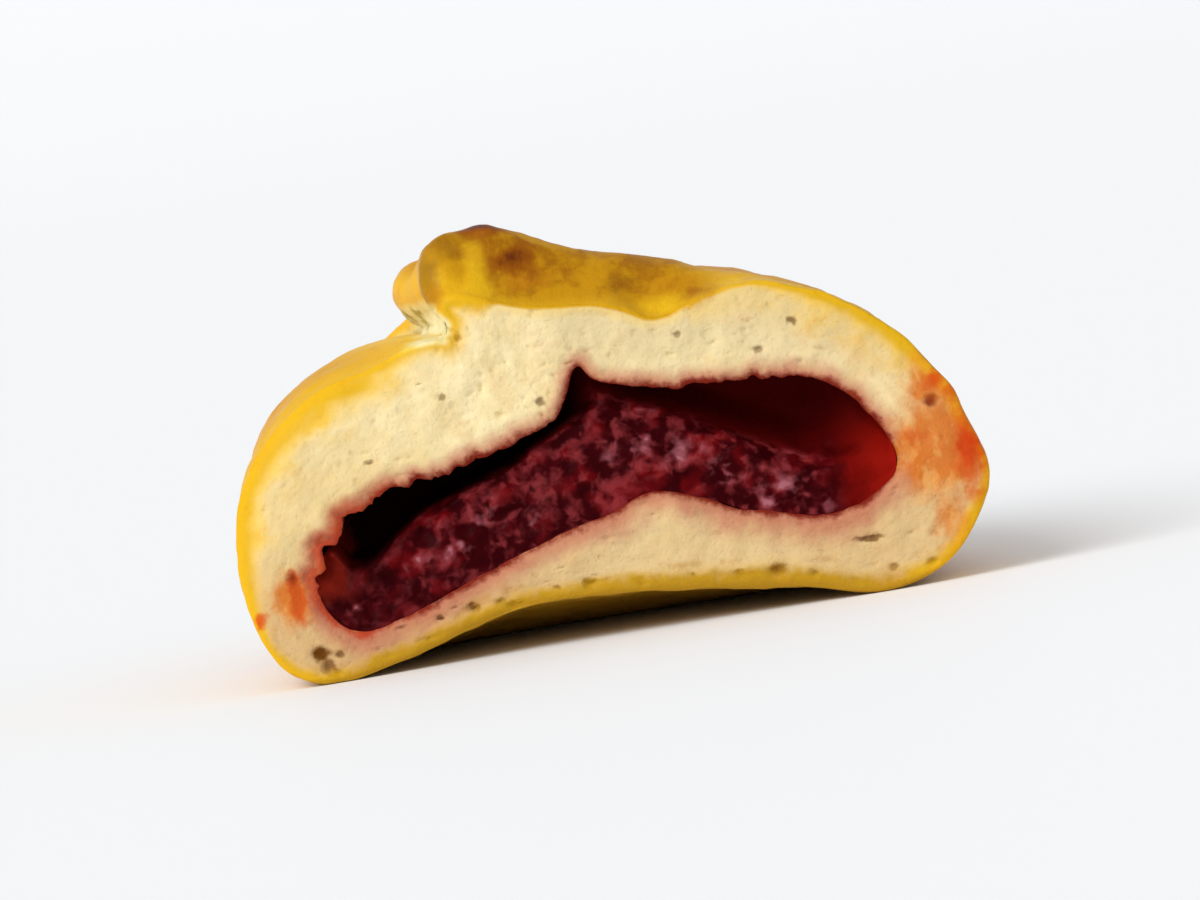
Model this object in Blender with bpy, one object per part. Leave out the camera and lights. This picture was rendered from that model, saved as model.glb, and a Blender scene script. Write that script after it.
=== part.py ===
"""Cut half of a boat-shaped baked bun with a jam filling.

The dough was folded over its filling, and its free edge lies on top as a thick rounded lip.
The half stands on its own base: the cut faces -Y, the tip points along +Y and +Z is up.
The origin is the centre of the box round the base. Lengths are in metres.
"""

import math

import bmesh
import bpy
import numpy as np
from mathutils import Matrix

MM = 0.001

# Driving dimensions
HALF_LENGTH = 75.5 * MM
HALF_WIDTH = 36.0 * MM
BODY_HEIGHT = 33.0 * MM
LIP_HEIGHT = 8.7 * MM  # at its nose just behind the cut
LIP_AT_CUT = 3.4 * MM
POCKET_LENGTH = 60.0 * MM
FIT_GAP = 0.3 * MM

# The section at the cut without its lip: shares of HALF_WIDTH and BODY_HEIGHT, clockwise from the seam
BODY_OUTLINE = (
    (-0.26, 0.967), (0.02, 1.0), (0.28, 0.995), (0.55, 0.95), (0.80, 0.815), (0.97, 0.59),
    (1.05, 0.31), (0.95, 0.09), (0.74, 0.0), (0.44, 0.066), (-0.165, 0.13), (-0.55, 0.036),
    (-0.78, 0.0), (-0.92, 0.125), (-0.96, 0.38), (-0.90, 0.66), (-0.74, 0.85), (-0.50, 0.94),
)
ARCH_POINTS = (9, 10, 11)  # those of BODY_OUTLINE under the arch of the base
ARCH_DEPTH = 26.0 * MM  # how far back from the cut the arch reaches

# The pocket in the same shares: two lobes that meet in a fold under the seam, counter-clockwise
POCKET_OUTLINE = (
    (0.012, 0.79), (-0.075, 0.645), (-0.35, 0.556), (-0.61, 0.487), (-0.76, 0.297), (-0.655, 0.136),
    (-0.33, 0.240), (-0.12, 0.313), (0.04, 0.355), (0.165, 0.397), (0.30, 0.355), (0.43, 0.293),
    (0.64, 0.253), (0.80, 0.33), (0.79, 0.48), (0.645, 0.643), (0.44, 0.678), (0.22, 0.695), (0.065, 0.745),
)
POCKET_CENTRE = (0.04, 0.50)  # a share point that sees the pocket's whole outline

TIP_HEIGHT = 6.5 * MM  # the tip's own height above the base
TIP_SHIFT = -2.5 * MM  # how far the tip lies off the middle
SEAM_ANGLE = 126.0  # degrees, of the seam round the section, from +X
SEAM_TURN = 58.0  # degrees more that it has turned at the tip

# Mesh density
RINGS = 40
LIP_SIDES = 9
CREST_SIDES = 3
FLAP_SIDES = 14
WALL_SIDES = 52
POCKET_SIDES = 60
POCKET_RINGS = 16
FRONT_RINGS = 7


def smooth_step(value, start, end):
    share = np.clip((value - start) / (end - start), 0.0, 1.0)
    return share * share * (3.0 - 2.0 * share)


def bell(value, centre, width):
    return np.exp(-(((value - centre) / width) ** 2))


def waves(value, phase):
    """Uneven waves between about -1 and 1, as fingers leave along pressed dough."""
    return 0.6 * np.sin(value + phase) + 0.4 * np.sin(1.73 * value + 2.1 * phase + 1.0)


def closed_curve(points, count):
    """A smooth closed curve through the points, as evenly spaced samples."""
    points = np.asarray(points, float)
    before, after = np.roll(points, 1, axis=0), np.roll(points, -1, axis=0)
    beyond = np.roll(points, -2, axis=0)
    share = np.linspace(0.0, 1.0, 24, endpoint=False)[:, None, None]
    fine = 0.5 * (
        2.0 * points
        + (after - before) * share
        + (2.0 * before - 5.0 * points + 4.0 * after - beyond) * share**2
        + (3.0 * points - before - 3.0 * after + beyond) * share**3
    )
    fine = fine.transpose(1, 0, 2).reshape(-1, 2)
    closed = np.vstack([fine, fine[:1]])
    length = np.concatenate([[0.0], np.cumsum(np.linalg.norm(np.diff(closed, axis=0), axis=1))])
    at = np.linspace(0.0, length[-1], count, endpoint=False)
    return np.column_stack([np.interp(at, length, closed[:, axis]) for axis in (0, 1)])


def width_share(t):
    """Half the bun's width at share t of its length, with a neck before the knob at the tip."""
    boat = (1.0 - t**2.6) ** 0.71
    return boat * (1.0 - 0.08 * bell(t, 0.88, 0.04) + 0.15 * bell(t, 0.955, 0.035))


def top_height(t):
    boat = (1.0 - t**3.5) ** 0.45
    neck = 1.0 - 0.11 * bell(t, 0.89, 0.035) + 0.03 * bell(t, 0.955, 0.02)
    return TIP_HEIGHT + (BODY_HEIGHT - TIP_HEIGHT) * boat * neck


def base_height(t):
    """The underside leaves the table only at the rounded tip."""
    lift = np.clip((t - 0.86) / 0.14, 0.0, 1.0)
    return TIP_HEIGHT * (1.0 - math.sqrt(1.0 - lift * lift))


def middle(t):
    return TIP_SHIFT * t**1.5


def body_section(t):
    """The section's outline without the lip at share t of the length, clockwise from the seam."""
    outline = np.array(BODY_OUTLINE)
    arch = 1.0 - smooth_step(t * HALF_LENGTH, 0.0, ARCH_DEPTH)
    outline[list(ARCH_POINTS), 1] *= arch
    low, high = base_height(t), top_height(t)
    outline[:, 0] = middle(t) + outline[:, 0] * HALF_WIDTH * width_share(t)
    outline[:, 1] = low + outline[:, 1] * (high - low)
    curve = closed_curve(outline, 480)
    curve[:, 1] = np.maximum(curve[:, 1], low)
    centre = np.array([middle(t), 0.5 * (low + high)])
    angle = np.degrees(np.arctan2(curve[:, 1] - centre[1], curve[:, 0] - centre[0]))
    seam = SEAM_ANGLE + 5.0 * smooth_step(t, 0.05, 0.24) + SEAM_TURN * smooth_step(t, 0.62, 0.97)
    start = int(np.argmin(np.abs((angle - seam + 180.0) % 360.0 - 180.0)))
    return np.roll(curve, -start, axis=0)


def along(curve, lengths):
    """Points of an open run of samples at the given distances, with the outward normal there."""
    run = np.concatenate([[0.0], np.cumsum(np.linalg.norm(np.diff(curve, axis=0), axis=1))])
    points = np.column_stack([np.interp(lengths, run, curve[:, axis]) for axis in (0, 1)])
    slope = np.gradient(curve, axis=0)
    slope /= np.linalg.norm(slope, axis=1)[:, None]
    tangent = np.column_stack([np.interp(lengths, run, slope[:, axis]) for axis in (0, 1)])
    tangent /= np.linalg.norm(tangent, axis=1)[:, None]
    return points, np.column_stack([-tangent[:, 1], tangent[:, 0]])


def eased_run(start, leave, end, arrive, count):
    """A smooth run of points between two others, with the unit directions in which it leaves and arrives."""
    share = np.linspace(0.0, 1.0, count + 2)[1:-1, None]
    span = np.linalg.norm(end - start)
    return (
        (2.0 * share**3 - 3.0 * share**2 + 1.0) * start
        + (share**3 - 2.0 * share**2 + share) * leave * span
        + (3.0 * share**2 - 2.0 * share**3) * end
        + (share**3 - share**2) * arrive * span
    )


def lip_height(t):
    """The lip is pressed at the cut, has a nose behind it, and sinks and swells from there to the tip."""
    y = t * HALF_LENGTH
    rise = LIP_AT_CUT + (LIP_HEIGHT - LIP_AT_CUT) * smooth_step(y, 0.0, 5.0 * MM)
    sink = 1.0 - 0.36 * smooth_step(y, 6.0 * MM, 15.0 * MM) - 0.38 * smooth_step(t, 0.30, 0.86)
    marks = 1.0 + 0.16 * waves(y / (2.6 * MM), 0.7) * smooth_step(y, 7.0 * MM, 16.0 * MM)
    return rise * sink * marks * (1.0 - smooth_step(t, 0.84, 0.97)) + 0.15 * MM


def lip_reach(t):
    """How far the lip's edge hangs over the seam."""
    y = t * HALF_LENGTH
    reach = 0.3 + 1.1 * smooth_step(y, 0.0, 4.0 * MM) + 0.8 * bell(y, 17.5 * MM, 5.0 * MM)
    reach += 0.8 * waves(y / (3.0 * MM), 2.4) * smooth_step(y, 22.0 * MM, 30.0 * MM)
    return reach * MM * (1.0 - smooth_step(t, 0.80, 0.95))


def ring(t):
    """The whole outline at share t, lip included, as 3-D points clockwise from the seam."""
    curve = body_section(t)
    curve = np.vstack([curve, curve[:1]])
    total = np.linalg.norm(np.diff(curve, axis=0), axis=1).sum()
    height = lip_height(t)
    flap = 34.0 * MM * width_share(t)
    seam, normal = along(curve, [0.0])
    up = normal[0]
    across = np.array([up[1], -up[0]])

    radius = 0.46 * height
    centre = seam[0] + across * (radius - lip_reach(t)) + up * 0.54 * height
    turn = np.radians(np.linspace(228.0, 90.0, LIP_SIDES))
    lip = centre + radius * (np.outer(np.cos(turn), across) + np.outer(np.sin(turn), up))

    start = (centre - seam[0]) @ across + 0.5 * height
    at = np.linspace(start, flap, FLAP_SIDES)
    points, out = along(curve, at)
    share = (at - start) / (flap - start)
    fall = (1.0 - share) ** 1.8 - 0.06 * bell(share, 0.22, 0.12) + 0.07 * bell(share, 0.55, 0.13)
    top = points + out * (height * fall)[:, None]
    arrive = (top[1] - top[0]) / np.linalg.norm(top[1] - top[0])
    crest = eased_run(lip[-1], across, top[0], arrive, CREST_SIDES)

    at = np.linspace(flap, total, WALL_SIDES + 2)[1:-1]
    wall, out = along(curve, at)
    groove = 0.7 * MM * np.exp(-(((total - at) / (3.5 * MM)) ** 2)) * (1.0 - smooth_step(t, 0.9, 1.0))
    wall -= out * groove[:, None]

    flat = np.vstack([seam, lip, crest, top, wall])
    flat[:, 1] -= knife_press(flat, t * HALF_LENGTH)
    flat += surface_swell(flat, t) + tip_pinch(flat, seam[0], t)
    return np.column_stack([flat[:, 0], np.full(len(flat), t * HALF_LENGTH), flat[:, 1]])


def tip_pinch(flat, seam, t):
    """The dough is pinched shut before the tip: a crease round the seam's side leaves a knob."""
    near = np.exp(-(np.linalg.norm(flat - seam, axis=1) / (8.0 * MM)) ** 2)
    inward = np.array([middle(t), 0.5 * (base_height(t) + top_height(t))]) - flat
    inward /= np.maximum(np.linalg.norm(inward, axis=1), 1.0e-6)[:, None]
    return inward * (2.4 * MM * near * bell(t, 0.885, 0.034))[:, None]


def knife_press(flat, y):
    """How far the knife drew the upper crust down where it went in."""
    x, z = flat[:, 0], flat[:, 1]
    top = 2.6 * MM * np.exp(-(((x - 4.0 * MM) / (12.0 * MM)) ** 4))
    side = 1.5 * MM * smooth_step(-x, 11.0 * MM, 20.0 * MM)
    dent = 1.9 * MM * bell(x, 8.8 * MM, 3.4 * MM)
    upper = smooth_step(z, 0.35 * BODY_HEIGHT, 0.85 * BODY_HEIGHT)
    return upper * ((top + side) * bell(y, 0.0, 6.0 * MM) + dent * bell(y, 0.0, 4.0 * MM))


def surface_swell(flat, t):
    """Slight lumps of a hand-shaped bun, none at the base."""
    x, z = flat[:, 0], flat[:, 1]
    y = t * HALF_LENGTH
    lump = 0.45 * MM * waves(y / (6.1 * MM) + x / (9.0 * MM), 0.4) * waves(z / (7.0 * MM) - x / (11.0 * MM), 1.9)
    strength = smooth_step(z, 2.0 * MM, 9.0 * MM) * smooth_step(y, 3.0 * MM, 12.0 * MM)
    side = np.sign(x - middle(t)) * lump * strength * (1.0 - smooth_step(t, 0.9, 1.0))
    return np.column_stack([side, lump * strength * (1.0 - smooth_step(t, 0.9, 1.0))])


def bridge(shape, rings):
    """Joins each ring of points to the next, and returns the first and last as vertices."""
    loops = [[shape.verts.new(point) for point in points] for points in rings]
    for first, second in zip(loops[:-1], loops[1:]):
        for i in range(len(first)):
            j = (i + 1) % len(first)
            shape.faces.new((first[i], first[j], second[j], second[i]))
    return loops[0], loops[-1]


def mesh_of(shape, name):
    bmesh.ops.recalc_face_normals(shape, faces=shape.faces)
    if shape.calc_volume(signed=True) < 0.0:
        bmesh.ops.reverse_faces(shape, faces=shape.faces)
    mesh = bpy.data.meshes.new(name)
    shape.to_mesh(mesh)
    shape.free()
    return mesh


def finish_material(name, colour, roughness, coat):
    material = bpy.data.materials.new(name)
    material.use_nodes = True
    shader = material.node_tree.nodes["Principled BSDF"]
    shader.inputs["Base Color"].default_value = (*colour, 1.0)
    shader.inputs["Roughness"].default_value = roughness
    shader.inputs["Coat Weight"].default_value = coat
    shader.inputs["Metallic"].default_value = 0.0
    return material


def add_object(name, mesh, material=None):
    thing = bpy.data.objects.new(name, mesh)
    bpy.context.scene.collection.objects.link(thing)
    if material:
        mesh.materials.append(material)
    mesh.shade_smooth()
    mesh.set_sharp_from_angle(angle=math.radians(34.0))
    return thing


def pocket_point(outline, y):
    """The pocket's outline at depth y from the cut: it shrinks to a rounded end."""
    share = np.clip(y / POCKET_LENGTH, 0.0, 1.0)
    size = max((1.0 - share**2.4), 0.0) ** 0.6
    centre = np.array([middle(y / HALF_LENGTH) + POCKET_CENTRE[0] * HALF_WIDTH, POCKET_CENTRE[1] * BODY_HEIGHT])
    level = outline * np.array([HALF_WIDTH, BODY_HEIGHT]) - centre
    return centre + level * size


def pocket_outline():
    return closed_curve(POCKET_OUTLINE, POCKET_SIDES)


def pocket_depths():
    return POCKET_LENGTH * np.sin(np.linspace(0.0, 0.5 * math.pi, POCKET_RINGS))[:-1]


def ring_at(flat, y):
    return np.column_stack([flat[:, 0], np.broadcast_to(y, len(flat)), flat[:, 1]])


def dough():
    """Crust and crumb: the outside, the pocket and the cut between them."""
    shape = bmesh.new()
    stops = np.sin(np.linspace(0.0, 0.5 * math.pi, RINGS)) * 0.55 + np.linspace(0.0, 1.0, RINGS) * 0.45
    outer, tip = bridge(shape, [ring(t) for t in stops[:-1]])
    outline = pocket_outline()
    inner, end = bridge(shape, [ring_at(pocket_point(outline, y), y) for y in pocket_depths()])
    shape.faces.new(tip)
    shape.faces.new(end)
    edges = [shape.edges.get((loop[i - 1], loop[i])) for loop in (outer, inner) for i in range(len(loop))]
    bmesh.ops.triangle_fill(shape, use_beauty=True, use_dissolve=False, edges=edges, normal=(0.0, -1.0, 0.0))
    crust = finish_material("crust", (0.78, 0.42, 0.05), 0.42, 0.25)
    return add_object("dough", mesh_of(shape, "dough"), crust)


def inset(flat, gap):
    """The outline moved inwards by gap, which may differ from point to point."""
    ahead, behind = np.roll(flat, -1, axis=0), np.roll(flat, 1, axis=0)
    slope = ahead - behind
    slope /= np.linalg.norm(slope, axis=1)[:, None]
    return flat + np.column_stack([-slope[:, 1], slope[:, 0]]) * np.broadcast_to(gap, len(flat))[:, None]


def filling_section(y):
    """The jam's outline at depth y: it clears the pocket by FIT_GAP, and sags from the roof on the left."""
    outline = pocket_outline()
    cut = outline * np.array([HALF_WIDTH, BODY_HEIGHT])
    roof = np.array([1.0 if left < 0.0 and up > roof_line(left) else 0.0 for left, up in cut])
    fade = 1.0 - smooth_step(y, 0.5 * POCKET_LENGTH, 0.9 * POCKET_LENGTH)
    sag = 2.4 * MM * roof * smooth_step(-cut[:, 0], 1.0 * MM, 12.0 * MM) * fade
    sag *= smooth_step(cut[:, 0], -27.0 * MM, -20.0 * MM)
    flat = inset(pocket_point(outline, y), FIT_GAP)
    flat[:, 1] -= sag
    return flat


def roof_line(x):
    """Halfway between the left lobe's roof and floor."""
    return 13.8 * MM + 0.16 * x


def jam_recess(x, z):
    """How far behind the cut the jam's face lies: it leans back towards the roof."""
    lean = 5.5 * MM * smooth_step(z - 0.25 * x, 13.0 * MM, 20.0 * MM) * smooth_step(x, 2.0 * MM, 16.0 * MM)
    lumps = 0.5 * MM * waves(x / (2.3 * MM), 0.3) * waves(z / (2.1 * MM), 1.1)
    return 1.1 * MM + lean + lumps


def filling():
    front = filling_section(0.0)
    centre = np.array(POCKET_CENTRE) * np.array([HALF_WIDTH, BODY_HEIGHT])
    faces = []
    for size in np.linspace(0.06, 1.0, FRONT_RINGS, endpoint=False):
        flat = centre + (front - centre) * size
        faces.append(ring_at(flat, jam_recess(flat[:, 0], flat[:, 1])))
    edge = ring_at(front, jam_recess(front[:, 0], front[:, 1]))
    rings = [edge] + [ring_at(filling_section(y), y) for y in pocket_depths()[:-1] if y > 8.0 * MM]
    shape = bmesh.new()
    front_end, back_end = bridge(shape, [*faces, *rings])
    shape.faces.new(front_end)
    shape.faces.new(back_end)
    jam = finish_material("jam", (0.16, 0.004, 0.010), 0.22, 0.6)
    return add_object("filling", mesh_of(shape, "filling"), jam)


def centre_on_base(things, guide):
    """Moves the meshes so that the origin is under the middle of the dough's box."""
    corners = np.array([v.co[:] for v in guide.data.vertices])
    low, high = corners.min(axis=0), corners.max(axis=0)
    shift = Matrix.Translation((-0.5 * (low[0] + high[0]), -0.5 * (low[1] + high[1]), -low[2]))
    for thing in things:
        thing.data.transform(shift)


def main():
    for thing in list(bpy.data.objects):
        bpy.data.objects.remove(thing)
    bun = dough()
    jam = filling()
    centre_on_base([bun, jam], bun)


main()
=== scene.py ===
# Cut half of a baked bun with jam: the finish of its crust, crumb and filling, on a pale table.
import math

import bmesh
import bpy
import numpy as np
from mathutils import Matrix, Vector, noise


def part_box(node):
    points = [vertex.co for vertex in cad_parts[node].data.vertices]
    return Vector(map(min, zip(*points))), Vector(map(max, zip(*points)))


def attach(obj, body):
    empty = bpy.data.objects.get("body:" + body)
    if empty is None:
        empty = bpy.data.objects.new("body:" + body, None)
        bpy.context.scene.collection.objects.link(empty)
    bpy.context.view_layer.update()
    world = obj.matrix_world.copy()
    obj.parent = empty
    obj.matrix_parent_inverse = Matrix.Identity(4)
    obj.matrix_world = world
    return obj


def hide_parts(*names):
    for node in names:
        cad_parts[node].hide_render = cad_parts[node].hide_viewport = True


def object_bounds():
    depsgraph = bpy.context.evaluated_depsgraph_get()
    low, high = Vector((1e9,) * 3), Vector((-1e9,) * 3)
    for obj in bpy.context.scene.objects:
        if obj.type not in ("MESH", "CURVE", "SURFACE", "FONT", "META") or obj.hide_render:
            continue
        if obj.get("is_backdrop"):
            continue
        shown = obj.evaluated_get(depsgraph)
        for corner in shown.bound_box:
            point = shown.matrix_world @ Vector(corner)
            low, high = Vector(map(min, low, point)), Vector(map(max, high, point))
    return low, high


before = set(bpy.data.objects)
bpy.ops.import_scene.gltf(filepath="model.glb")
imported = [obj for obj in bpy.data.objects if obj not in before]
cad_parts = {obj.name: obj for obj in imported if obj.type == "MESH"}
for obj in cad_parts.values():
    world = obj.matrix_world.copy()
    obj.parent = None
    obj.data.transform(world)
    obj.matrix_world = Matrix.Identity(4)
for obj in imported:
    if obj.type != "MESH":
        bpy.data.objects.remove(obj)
cadLow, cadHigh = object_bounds()
mm = 0.001


def smoothStep(value, start, end):
    share = np.clip((value - start) / (end - start), 0.0, 1.0)
    return share * share * (3.0 - 2.0 * share)


def bell(value, centre, width):
    return np.exp(-(((value - centre) / width) ** 2))


# uneven waves, as fingers leave along pressed dough
def waves(value, phase):
    return 0.6 * np.sin(value + phase) + 0.4 * np.sin(1.73 * value + 2.1 * phase + 1.0)


# fractal grain of the given size at each point, about -1 to 1
def grain(points, size, octaves, phase=0.0):
    flat = np.asarray(points).reshape(-1, 3) / size + phase
    values = [noise.fractal(Vector(point), 1.0, 2.0, octaves) for point in flat]
    return np.clip(values, -1.0, 1.0).reshape(np.asarray(points).shape[:-1])


def runLength(curve):
    return np.concatenate([[0.0], np.cumsum(np.linalg.norm(np.diff(curve, axis=0), axis=1))])


# a run of samples, spaced evenly
def evenRun(curve, count):
    run = runLength(curve)
    at = np.linspace(0.0, run[-1], count)
    return np.column_stack([np.interp(at, run, curve[:, axis]) for axis in (0, 1)])


# a smooth closed curve through the points, as evenly spaced samples
def closedCurve(points, count, between=24):
    points = np.asarray(points, float)
    before, after, beyond = (np.roll(points, step, axis=0) for step in (1, -1, -2))
    share = np.linspace(0.0, 1.0, between, endpoint=False)[:, None, None]
    fine = 0.5 * (2.0 * points + (after - before) * share
                  + (2.0 * before - 5.0 * points + 4.0 * after - beyond) * share**2
                  + (3.0 * points - before - 3.0 * after + beyond) * share**3)
    fine = fine.transpose(1, 0, 2).reshape(-1, 2)
    return evenRun(np.vstack([fine, fine[:1]]), count + 1)[:-1]


# points of a run of samples at the given distances, and the outward normals there
def along(curve, lengths):
    run = runLength(curve)
    points = np.column_stack([np.interp(lengths, run, curve[:, axis]) for axis in (0, 1)])
    slope = np.gradient(curve, axis=0)
    slope /= np.linalg.norm(slope, axis=1)[:, None]
    tangent = np.column_stack([np.interp(lengths, run, slope[:, axis]) for axis in (0, 1)])
    tangent /= np.linalg.norm(tangent, axis=1)[:, None]
    return points, np.column_stack([-tangent[:, 1], tangent[:, 0]])


# a smooth run of points between two others, with the unit directions in which it leaves and arrives
def easedRun(start, leave, end, arrive, count):
    share = np.linspace(0.0, 1.0, count + 2)[1:-1, None]
    span = np.linalg.norm(end - start)
    return ((2.0 * share**3 - 3.0 * share**2 + 1.0) * start + (share**3 - 2.0 * share**2 + share) * leave * span
            + (3.0 * share**2 - 2.0 * share**3) * end + (share**3 - share**2) * arrive * span)


# The bun: its section is an outline in shares of halfWidth and bodyHeight, clockwise from the seam
bun = {
    "length": 75.5 * mm,
    "halfWidth": 36.0 * mm,
    "bodyHeight": 33.0 * mm,
    "outline": (
        (-0.26, 0.967), (0.02, 1.0), (0.28, 0.995), (0.55, 0.95), (0.8, 0.815), (0.97, 0.59), (1.05, 0.31),
        (0.95, 0.09), (0.74, 0.0), (0.44, 0.066), (-0.165, 0.13), (-0.55, 0.036), (-0.78, 0.0), (-0.92, 0.125),
        (-0.96, 0.38), (-0.9, 0.66), (-0.74, 0.85), (-0.5, 0.94)),
    "archPoints": [9, 10, 11],
    "archDepth": 26.0 * mm,
    "lipHeight": 8.7 * mm,
    "lipAtCut": 3.4 * mm,
    "tipHeight": 6.5 * mm,
    "tipShift": -2.5 * mm,
    "seamAngle": 126.0,
    "seamTurn": 58.0,
    "lipTurn": 228.0,
    "flapWidth": 34.0 * mm,
    "lipColumns": 48,
    "crestColumns": 16,
    "flapColumns": 104,
    "wallColumns": 331,
    "skinRows": 90,
    "crumbRows": 74,
    "pocketRows": 20,
    "seed": 11,
    "finePores": 110,
    # lumps of the side just behind the cut: x, z, radius and how far they stand out, in millimetres
    "sideLumps": ((37.6, 9.6, 2.8, 0.4), (35.4, 18.6, 1.8, 0.45), (36.6, 14.2, 1.8, -0.15)),
    # browned spots: x, y, z and radius in millimetres, and strength
    "browned": (
        (-4.6, 4.0, 37.3, 2.2, 0.75), (-2.2, 4.0, 36.5, 2.0, 0.65), (-7.0, 6.0, 40.9, 2.2, 0.95),
        (-4.8, 6.5, 40.4, 1.6, 0.5), (6.4, 2.5, 33.6, 1.8, 0.42), (10.0, 2.0, 32.3, 2.6, 0.3),
        (13.2, 2.5, 32.4, 2.4, 0.3), (18.0, 2.5, 32.4, 1.8, 0.3)),
    # marks on the lip beside the cut: x, y, z and the radii in millimetres, colour and strength
    "lipMarks": (
        (-12.4, 3.0, 36.6, 2.7, 6.75, 5.4, "olive", 0.75), (-11.4, 2.5, 34.4, 2.025, 5.4, 2.97, "tawny", 0.55),
        (-9.8, 4.0, 39.4, 3.78, 8.1, 2.43, "olive", 0.5), (-7.4, 3.0, 35.2, 2.295, 6.75, 4.05, "lemon", 0.6),
        (-9.6, 2.0, 33.0, 2.97, 5.4, 2.43, "lemon", 0.6), (-7.2, 4.0, 38.0, 2.025, 6.75, 2.43, "lemon", 0.45),
        (-2.8, 2.5, 35.0, 4.32, 5.4, 1.89, "tawny", 0.6), (9.6, 1.0, 30.9, 4.32, 4.05, 2.025, "lemon", 0.65),
        (6.4, 2.0, 33.4, 2.16, 5.4, 1.89, "olive", 0.45), (11.5, 2.0, 32.4, 5.4, 5.4, 1.755, "tawny", 0.45),
        (16.5, 1.5, 31.9, 2.7, 4.05, 1.485, "lemon", 0.5)),
    # air pockets at the cut: x, z, width and height in millimetres, and how brown they baked
    "pores": (
        (-28.1, 3.1, 1.7, 1.3, 1.0), (-27.5, 1.7, 1.2, 1.5, 0.7), (-26.8, 0.9, 1.0, 0.8, 0.6),
        (-26.3, 2.7, 0.9, 0.7, 0.6), (-16.2, 4.6, 0.8, 0.6, 0.5), (-12.8, 5.0, 1.2, 0.8, 0.9),
        (-10.3, 5.2, 0.9, 0.7, 0.7), (-9.2, 4.8, 1.1, 0.8, 1.0), (-4.6, 5.6, 0.6, 0.5, 0.5),
        (-1.5, 5.4, 1.6, 1.0, 1.0), (3.4, 4.8, 0.8, 0.7, 0.7), (8.2, 4.6, 0.6, 0.5, 0.6),
        (12.7, 4.1, 0.9, 0.7, 0.8), (16.4, 3.7, 2.0, 1.2, 1.0), (19.8, 2.9, 0.8, 0.6, 0.7),
        (27.4, 2.3, 0.8, 0.6, 0.6), (31.3, 2.1, 1.3, 0.9, 0.9), (25.5, 5.4, 2.4, 0.5, 0.7),
        (-12.7, 25.4, 0.7, 0.6, 0.5), (-3.3, 23.5, 0.9, 0.8, 0.5), (17.9, 25.0, 0.9, 0.6, 0.45),
        (21.6, 27.2, 0.8, 0.6, 0.6), (-10.2, 30.7, 0.9, 0.8, 0.9), (-20.5, 20.4, 0.7, 0.5, 0.35),
        (10.5, 27.6, 0.6, 0.5, 0.3)),
}

# The pocket baked round the jam, counter-clockwise from the fold under the seam
pocket = {
    "outline": (
        (0.012, 0.79), (-0.075, 0.645), (-0.35, 0.556), (-0.61, 0.487), (-0.76, 0.297), (-0.655, 0.136),
        (-0.33, 0.24), (-0.12, 0.313), (0.04, 0.355), (0.165, 0.397), (0.3, 0.355), (0.43, 0.293),
        (0.64, 0.253), (0.8, 0.33), (0.79, 0.48), (0.645, 0.643), (0.44, 0.678), (0.22, 0.695),
        (0.065, 0.745)),
    "centre": (0.04, 0.5),
    "length": 60.0 * mm,
}
cutSize = np.array([bun["halfWidth"], bun["bodyHeight"]])
pocketCentre = np.array(pocket["centre"]) * cutSize


def widthShare(t):
    boat = (1.0 - t**2.6) ** 0.71
    return boat * (1.0 - 0.08 * bell(t, 0.88, 0.04) + 0.15 * bell(t, 0.955, 0.035))


def topHeight(t):
    boat = (1.0 - t**3.5) ** 0.45
    neck = 1.0 - 0.11 * bell(t, 0.89, 0.035) + 0.03 * bell(t, 0.955, 0.02)
    return bun["tipHeight"] + (bun["bodyHeight"] - bun["tipHeight"]) * boat * neck


def baseHeight(t):
    lift = np.clip((t - 0.86) / 0.14, 0.0, 1.0)
    return bun["tipHeight"] * (1.0 - math.sqrt(1.0 - lift * lift))


def middle(t):
    return bun["tipShift"] * t**1.5


# the section without its lip, clockwise from the seam
def bodySection(t):
    outline = np.array(bun["outline"])
    outline[bun["archPoints"], 1] *= 1.0 - smoothStep(t * bun["length"], 0.0, bun["archDepth"])
    low, high = baseHeight(t), topHeight(t)
    outline[:, 0] = middle(t) + outline[:, 0] * bun["halfWidth"] * widthShare(t)
    outline[:, 1] = low + outline[:, 1] * (high - low)
    curve = closedCurve(outline, 900)
    curve[:, 1] = np.maximum(curve[:, 1], low)
    angle = np.degrees(np.arctan2(curve[:, 1] - 0.5 * (low + high), curve[:, 0] - middle(t)))
    seam = bun["seamAngle"] + 5.0 * smoothStep(t, 0.05, 0.24) + bun["seamTurn"] * smoothStep(t, 0.62, 0.97)
    start = int(np.argmin(np.abs((angle - seam + 180.0) % 360.0 - 180.0)))
    curve = np.roll(curve, -start, axis=0)
    return np.vstack([curve, curve[:1]])


# the lip is pressed at the cut, has a nose behind it, and sinks and swells from there to the tip
def lipHeight(t):
    y = t * bun["length"]
    rise = bun["lipAtCut"] + (bun["lipHeight"] - bun["lipAtCut"]) * smoothStep(y / mm, 0.0, 5.0)
    sink = 1.0 - 0.36 * smoothStep(y / mm, 6.0, 15.0) - 0.38 * smoothStep(t, 0.3, 0.86)
    marks = 1.0 + 0.16 * waves(y / (2.6 * mm), 0.7) * smoothStep(y / mm, 7.0, 16.0)
    return rise * sink * marks * (1.0 - smoothStep(t, 0.84, 0.97)) + 0.15 * mm


# how far the lip's edge hangs over the seam
def lipReach(t):
    y = t * bun["length"]
    reach = 0.3 + 1.1 * smoothStep(y / mm, 0.0, 4.0) + 0.8 * bell(y, 17.5 * mm, 5.0 * mm)
    reach += 0.8 * waves(y / (3.0 * mm), 2.4) * smoothStep(y / mm, 22.0, 30.0)
    return reach * mm * (1.0 - smoothStep(t, 0.8, 0.95))


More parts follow.
